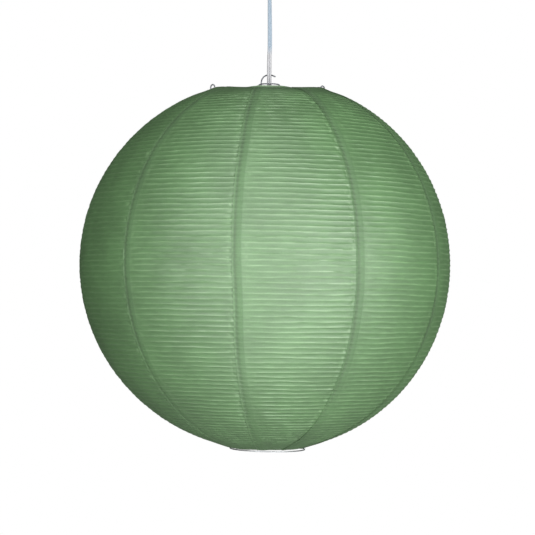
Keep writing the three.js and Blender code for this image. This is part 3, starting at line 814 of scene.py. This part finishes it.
def paper_finish(name, green, ridge_wear_and_highlight, shadow, fold_shade, through):
    """Dyed paper. The mesh's colours mark paler places with a painted highlight, such as the ridges
    (red), doubled paper and painted shade (green), and painted shade in creases and folds (blue).
    """
    made = bpy.data.materials.new(name)
    made.use_nodes = True
    tree = made.node_tree
    shader = tree.nodes["Principled BSDF"]
    shader.inputs["Specular IOR Level"].default_value = 1.0
    shader.inputs["IOR"].default_value = 1.7
    painted = node(tree, "Attribute", {}, attribute_name="marks").outputs["Color"]
    marks = node(tree, "SeparateColor", {0: painted})
    flat = node(tree, "UVMap", {}, uv_map="cut").outputs[0]

    def noise(scale, detail, size):
        place = node(tree, "Mapping", {"Vector": flat, "Scale": scale}).outputs[0]
        inputs = {"Vector": place, "Scale": size, "Detail": detail}
        return node(tree, "TexNoise", inputs, noise_dimensions="2D").outputs[0]

    def maths(operation, a, b):
        return node(tree, "Math", {0: a, 1: b}, operation=operation).outputs[0]

    def mixed(share, a, b, blend="MIX"):
        return node(tree, "Mix", {0: share, 6: a, 7: b}, data_type="RGBA", blend_type=blend).outputs[2]

    def fitted(value, low, high, to_low, to_high):
        return node(tree, "MapRange", {0: value, 1: low, 2: high, 3: to_low, 4: to_high}).outputs[0]

    patches = fitted(noise((1, 1, 1), 3.0, 14.0), 0.3, 0.7, 0.90, 1.10)
    streaks = fitted(noise((24, 143, 1), 2.0, 1.0), 0.36, 0.60, 0.40, 1.0)
    fibres = fitted(noise((60, 420, 1), 3.0, 1.0), 0.35, 0.65, 0.94, 1.06)
    speckle = fitted(noise((1, 1, 1), 2.0, 700.0), 0.35, 0.65, 0.93, 1.07)
    tone = maths("MULTIPLY", maths("MULTIPLY", patches, fibres), speckle)
    # The ridges are lightened, partly by wear and partly as a painted highlight.
    wear_and_highlight = maths("MULTIPLY", marks.outputs[0], streaks)
    colour = mixed(wear_and_highlight, (*green, 1), (*ridge_wear_and_highlight, 1))
    # Doubled paper is darker, and painted shade darkens the paper hanging between the turns.
    colour = mixed(maths("MULTIPLY", marks.outputs[1], 0.6), colour, (*shadow, 1))
    # Painted shade in the creases and the folds.
    colour = mixed(marks.outputs[2], colour, (*fold_shade, 1))
    grey = node(tree, "CombineColor", {0: tone, 1: tone, 2: tone}).outputs[0]
    colour = mixed(1.0, colour, grey, "MULTIPLY")
    grain = maths("MULTIPLY", noise((1, 1, 1), 3.0, 420.0), 0.6)
    height = maths("ADD", grain, noise((60, 420, 1), 3.0, 1.0))
    bump = node(tree, "Bump", {"Height": height, "Distance": 0.00012, "Strength": 0.5})
    dull = fitted(marks.outputs[1], 0.5, 1.0, 0.0, 0.14)
    rough = maths("ADD", fitted(wear_and_highlight, 0.0, 0.8, 0.56, 0.44), dull)
    tree.links.new(colour, shader.inputs["Base Color"])
    tree.links.new(rough, shader.inputs["Roughness"])
    tree.links.new(bump.outputs[0], shader.inputs["Normal"])
    back = node(tree, "BsdfTranslucent", {"Color": colour, "Normal": bump.outputs[0]})
    both = node(tree, "MixShader", {0: through, 1: shader.outputs[0], 2: back.outputs[0]})
    tree.links.new(both.outputs[0], tree.nodes["Material Output"].inputs["Surface"])
    return made


green_paper = paper_finish(
    "green_paper", PAPER_GREEN, PAPER_PALE_AND_HIGHLIGHT, PAPER_SHADOW, PAPER_FOLD_SHADE, PAPER_THROUGH
)


def sheet_piece(name, outer, inner, laid_flat, marks, material, slot, *replaced, loop=False):
    """A thin closed sheet between two grids of points. laid_flat holds each point's place on the
    flat paper, and marks its colour marks. A loop joins its last column to its first."""
    rows, columns = outer.shape[:2]
    count = rows * columns
    grid = np.arange(count).reshape(rows, columns)
    if loop:
        grid = np.concatenate([grid, grid[:, :1]], 1)
    a, b, c, d = grid[:-1, :-1], grid[1:, :-1], grid[1:, 1:], grid[:-1, 1:]
    skin = np.stack([a, b, c, d], -1).reshape(-1, 4)
    quads = [skin, skin[:, ::-1] + count]
    edges = [grid[0, ::-1], grid[-1]]
    if not loop:
        edges += [grid[:, 0], grid[::-1, -1]]
    for edge in edges:
        quads.append(np.stack([edge[1:], edge[:-1], edge[:-1] + count, edge[1:] + count], -1))
    faces = np.concatenate(quads)
    points = np.concatenate([outer.reshape(-1, 3), inner.reshape(-1, 3)])
    made = piece(name, points, faces.tolist(), material, "shade", slot, *replaced)
    corners = np.empty(len(made.data.loops), int)
    made.data.loops.foreach_get("vertex_index", corners)
    flat = np.tile(laid_flat.reshape(-1, 2), (2, 1))
    made.data.uv_layers.new(name="cut").data.foreach_set("uv", flat[corners].ravel())
    colours = np.ones((2 * count, 4))
    colours[:, :3] = np.tile(marks.reshape(-1, 3), (2, 1))
    marked = made.data.color_attributes.new("marks", "FLOAT_COLOR", "POINT")
    marked.data.foreach_set("color", colours.ravel())
    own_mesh(made)
    return made


# ---- Strengthening bands ----
# A second layer of the same paper, pasted inside the top and the bottom where the rings pull. No
# rib runs over it, so the lantern is smooth there.
BAND_DEPTH = 0.0013  # from the ball's surface
band_azimuth = np.linspace(0, 2 * math.pi, 200, endpoint=False)[None, :]
for name, start, end, replaced in (
    ("top_band", 0.004, BAND_TOP, "top_collar"),
    ("bottom_band", paper_length - BAND_BOTTOM, paper_length - 0.003, "bottom_collar"),
):
    band_along = np.linspace(start, end, 14)[:, None] + 0 * band_azimuth
    turn = band_azimuth + 0 * band_along
    laid_flat = np.stack([turn * BALL, band_along], -1)
    marks = np.zeros((*turn.shape, 3))
    marks[..., 1] = 1
    outer = on_ball(turn, band_along, BAND_DEPTH)
    inner = on_ball(turn, band_along, BAND_DEPTH + PAPER)
    band = sheet_piece(
        name, outer, inner, laid_flat, marks, green_paper, "collar_paper", replaced, loop=True
    )

# ---- Gores ----
# Ten long strips, cut wide at the middle and narrow at the ends. Each is pasted over the margin of
# the one to its left, hangs slack between the turns of the rib, and puckers where it was pasted.
GORES = 10
MARGIN = 0.0125  # width of the double paper at a seam
SLACK = 0.00066  # how deep the paper hangs between two turns
FINE_SLACK = (0.00022, 0.00012)  # more or less of it, in patches of about 10 and 4 mm
PUCKER = 0.0007
CREASE = 0.0005
BAND_WAVE = 0.0003
LIFT = 0.00022  # the upper margin lies this far out, the lower one this far in
CURL = 0.00035  # the pasted edge stands off by this much more
LIP = 0.003  # the rim's fold stands this high where the crossbar pushes it up in front
LEFT_COLUMNS = (0, 0.8, 1.7, 2.6, 3.6, 5.0, 6.8, 9.0, 11.2, 12.6, 15.0)  # millimetres from that edge
RIGHT_COLUMNS = (20.5, 18.5, 16.5, 15.0, 13.8, 12.9, 12.2, 9.5, 6.0, 2.5, 0)
MIDDLE_COLUMNS = 42
FLAT_GORE = 8  # the ridges of this one hardly show: it is turned from the light, so less highlight is painted
FLAT_GORE_RIDGES = 0.35
SEAMS_FADE = 0.40  # down the paper from the rim: below this the seams show less and less
SEAMS_FADE_OVER = 0.10
SEAMS_LOST = 0.6
RIDGE = 0.16  # half a pale ridge with its painted highlight, as a share of a turn
BAND_TONE = 0.06  # how much darker the doubled paper is over a band
# Painted shade: how much darker the paper is painted where it hangs between the turns, in a crease along a
# seam, and in the doubled folds at the rim and the hem.
HANG_SHADE = 0.45
CREASE_SHADE = 0.62
RIM_AND_HEM_SHADE = 0.8
TOP_FLARE = 0.0022  # the top edge stands out by this much, to reach round the ring
TOP_FLARE_OVER = 0.022
ring_wrap = TOP_WIRE / 2 + GAP + PAPER
wrap_degrees = np.linspace(300, 78, 18)  # from under the ring's wire, up inside it and over the top
wrap_turns = np.radians(wrap_degrees)
shares = (0.0, 0.12, 0.30, 0.50, 0.70, 0.88)
turns = np.array([turn + share for turn in range(TURNS) for share in shares] + [TURNS])


def seam_azimuth(seam, along):
    """A seam wanders a little from its meridian."""
    wander = drift(np.full_like(along, 0.3 * seam), along, 40, 9, 11)
    return FIRST_SEAM + seam * 2 * math.pi / GORES + math.radians(0.25) * wander


def bump_at(values, centre, width):
    return np.exp(-(((values - centre) / width) ** 2))


def near_seam(right_of_edge):
    """By the distance to the right of a pasted edge: the share of the ribs' relief that is left, how
    puckered the paper is, and how deep the crease along the edge is."""
    relief = 1 - 0.72 * eased_step(right_of_edge, -0.0012, 0.0006)
    relief = relief + 0.27 * eased_step(right_of_edge, MARGIN - 0.001, MARGIN + 0.001)
    relief = relief + 0.45 * eased_step(right_of_edge, MARGIN, MARGIN + 0.022)
    puckered = bump_at(right_of_edge, -0.004, 0.004) + 0.35 * bump_at(right_of_edge, MARGIN + 0.003, 0.005)
    return relief, puckered, bump_at(right_of_edge, 0.0034, 0.0020)


for gore in range(GORES):
    straight = turns * pitch
    width = BALL * np.sin(top_angle + straight / BALL)
    left = seam_azimuth(gore, straight) - MARGIN / 2 / width
    right = seam_azimuth((gore + 1) % GORES, straight) + MARGIN / 2 / width
    right = np.where(gore == GORES - 1, right + 2 * math.pi, right)
    near_left = left[:, None] + np.array(LEFT_COLUMNS)[None, :] / 1000 / width[:, None]
    near_right = right[:, None] - np.array(RIGHT_COLUMNS)[None, :] / 1000 / width[:, None]
    inner_share = np.linspace(0, 1, MIDDLE_COLUMNS + 2)[None, 1:-1]
    between_them = near_left[:, -1:] * (1 - inner_share) + near_right[:, :1] * inner_share
    azimuth = np.concatenate([near_left, between_them, near_right], 1)
    turn = turns[:, None] + 0 * azimuth
    share = np.mod(turn, 1)
    along = np.clip(rib_length(azimuth, turn), 0, paper_length)
    from_left = (azimuth - left[:, None]) * width[:, None]
    from_right = (right[:, None] - azimuth) * width[:, None]

    left_relief, left_puckers, left_crease = near_seam(from_left)
    right_relief, right_puckers, right_crease = near_seam(MARGIN - from_right)
    relief = np.minimum(left_relief, right_relief)
    puckered = np.maximum(left_puckers, right_puckers)
    crease = np.maximum(left_crease, right_crease)
    puckers = drift(azimuth, along, 420, 160, 8)
    ribbed = eased_step(along, BAND_TOP - 0.010, BAND_TOP + 0.008)
    ribbed = ribbed * in_bottom_band(along, -BAND_BOTTOM - 0.010, -BAND_BOTTOM + 0.006)
    hang = np.sin(math.pi * share) ** 0.7
    slack = SLACK * relief * (1 + 0.35 * drift(azimuth, along, 50, 94, 5))
    fine_slack = FINE_SLACK[0] * drift(azimuth, along, 150, 120, 6)
    fine_slack += FINE_SLACK[1] * drift(azimuth, along, 420, 190, 7)
    slack += fine_slack
    slack += PUCKER * puckered * puckers + CREASE * crease
    smooth_band = BAND_WAVE + BAND_WAVE * drift(azimuth, along, 60, 26, 9)
    depth = ribbed * hang * slack + (1 - ribbed) * smooth_band
    depth -= LIFT * (1 - eased_step(from_left, 0.004, MARGIN + 0.006))
    depth += LIFT * (1 - eased_step(from_right, MARGIN, MARGIN + 0.008))
    frayed = 0.6 + 0.4 * drift(azimuth, along, 10, 170, 12)
    depth -= CURL * frayed * (1 - eased_step(from_left, 0, 0.0015))
    depth -= TOP_FLARE * np.maximum(0, 1 - along / TOP_FLARE_OVER) ** 2
    outer = on_ball(azimuth, along, depth)
    inner = on_ball(azimuth, along, depth + PAPER)

    seam_shows = 1 - SEAMS_LOST * eased_step(along, SEAMS_FADE, SEAMS_FADE + SEAMS_FADE_OVER)
    ridge_left = 1 - (1 - relief) * seam_shows
    # The ridges' mark: paler worn paper with a painted highlight, weaker near seams and on one gore.
    ridge_wear_and_highlight = np.maximum(0, 1 - np.minimum(share, 1 - share) / RIDGE) * ridge_left * ribbed
    ridge_wear_and_highlight = ridge_wear_and_highlight * (FLAT_GORE_RIDGES if gore == FLAT_GORE else 1.0)
    pucker_light = puckered * np.clip(1.6 * puckers - 0.3, 0, 1) * ribbed
    # Painted highlight along each pasted edge, on its frayed, paler fibres.
    edge_highlight = 0.8 * frayed * (1 - eased_step(from_left, 0.0008, 0.0017))
    double = seam_shows * (1 - eased_step(from_left, MARGIN - 0.0012, MARGIN))
    in_bands = 1 - eased_step(along, BAND_TOP - 0.002, BAND_TOP + 0.002)
    in_bands = np.maximum(in_bands, 1 - in_bottom_band(along, -BAND_BOTTOM - 0.002, 0.002 - BAND_BOTTOM))
    # The folds at the rim and the hem are doubled paper, darkened further as painted shade.
    fold_shade = np.maximum(1 - eased_step(along, 0.0008, 0.0035), 1 - in_bottom_band(along, -0.0026, -0.0010))
    light = np.maximum(np.maximum(ridge_wear_and_highlight, pucker_light), edge_highlight)
    # Painted shade where the paper hangs between the turns, with the darker doubled seams and bands.
    dark = np.maximum(double, np.maximum(BAND_TONE * in_bands, HANG_SHADE * hang * relief * ribbed))
    # Painted shade in the creases along the seams and in the folds.
    fold_and_crease_shade = np.maximum(CREASE_SHADE * crease * seam_shows, RIM_AND_HEM_SHADE * fold_shade)
    marks = np.stack([light, dark, fold_and_crease_shade], -1)
    laid_flat = np.stack([azimuth * BALL, along], -1)

    top_azimuth = azimuth[0]
    dip = RIM_DIP * np.cos(top_azimuth) ** 2
    from_front = np.mod(top_azimuth + math.pi, 2 * math.pi) - math.pi
    lip = bump_at(from_front**2, 0, math.radians(20) ** 2)[None, :]
    lip = lip * bump_at(wrap_degrees, 120, 28)[:, None]
    level = LIFT * (1 - eased_step(from_left[0], 0.004, MARGIN + 0.006))
    level = level - LIFT * (1 - eased_step(from_right[0], MARGIN, MARGIN + 0.008))
    wraps = []
    for reach in (ring_wrap, ring_wrap - PAPER):
        radius = ring_radius + (reach + level) * np.cos(wrap_turns)[:, None]
        height = ring_height + (reach + level) * np.sin(wrap_turns)[:, None] - dip + LIP * lip
        wraps.append(np.stack([radius * np.sin(top_azimuth), -radius * np.cos(top_azimuth), height], -1))
    outer = np.concatenate([wraps[0], outer])
    inner = np.concatenate([wraps[1], inner])
    rim_along = np.linspace(-0.006, -0.0005, len(wrap_turns))[:, None] + 0 * lip
    rim_flat = np.stack([laid_flat[0, :, 0] + 0 * lip, rim_along], -1)
    laid_flat = np.concatenate([rim_flat, laid_flat])
    # Painted light: the lip in front is painted pale, as if lit through from behind. The rest of the wrap
    # round the ring is doubled paper with painted shade.
    marks = np.concatenate([np.stack([lip, 1 - lip, 0.9 * (1 - lip)], -1), marks])
    number = f"{gore + 1:02d}"
    name = "green_gore_" + number
    stands_for = "paper_gore_" + number
    strip = sheet_piece(name, outer, inner, laid_flat, marks, green_paper, "paper", stands_for)

# ---- Floor, light and backdrop ----
# A plain pale floor as far down as in a room, soft boxes in front, and a white surround. The floor
# throws no light back up.
FLOOR = -2.3
FLOOR_REACH = 9
floor_mesh = bpy.data.meshes.new("floor")
floor_corners = [(x * FLOOR_REACH, y * FLOOR_REACH, FLOOR) for x, y in ((-1, -1), (1, -1), (1, 1), (-1, 1))]
floor_mesh.from_pydata(floor_corners, [], [(0, 1, 2, 3)])
floor = bpy.data.objects.new("floor", floor_mesh)
bpy.context.scene.collection.objects.link(floor)
floor_mesh.materials.append(finish("pale_floor", (0.80, 0.80, 0.79), 0.8, 0.02, clouds=0.01))
floor.visible_diffuse = False


def soft_box(name, azimuth, elevation, distance, size, power):
    """A square soft light, aimed at the middle of the ball."""
    light = bpy.data.lights.new(name, "AREA")
    light.size = size
    light.energy = power
    turn, rise = math.radians(azimuth), math.radians(elevation)
    out = Vector((math.sin(turn) * math.cos(rise), -math.cos(turn) * math.cos(rise), math.sin(rise)))
    lamp = bpy.data.objects.new(name, light)
    lamp.location = Vector((0, 0, middle)) + distance * out
    lamp.rotation_euler = out.to_track_quat("Z", "Y").to_euler()
    bpy.context.scene.collection.objects.link(lamp)


soft_box("key_right", 36, 0, 2.6, 2.2, 69)
soft_box("fill_front", -8, 4, 3.0, 2.0, 36)
soft_box("fill_left", -38, 0, 3.0, 1.5, 35)
soft_box("fill_right", 66, 0, 2.6, 1.6, 12)
soft_box("fill_above", -6, 55, 2.6, 2.0, 27)
soft_box("fill_below", 6, -50, 2.2, 1.6, 22)
world = bpy.data.worlds.new("white_surround")
world.use_nodes = True
surround = world.node_tree.nodes["Background"]
surround.inputs["Color"].default_value = (1, 1, 1, 1)
seen = node(world.node_tree, "LightPath", {}).outputs["Is Camera Ray"]
strength = node(world.node_tree, "MapRange", {0: seen, 1: 0.0, 2: 1.0, 3: 0.02, 4: 1.0})
world.node_tree.links.new(strength.outputs[0], surround.inputs["Strength"])
bpy.context.scene.world = world
bpy.context.scene.view_settings.view_transform = "Standard"
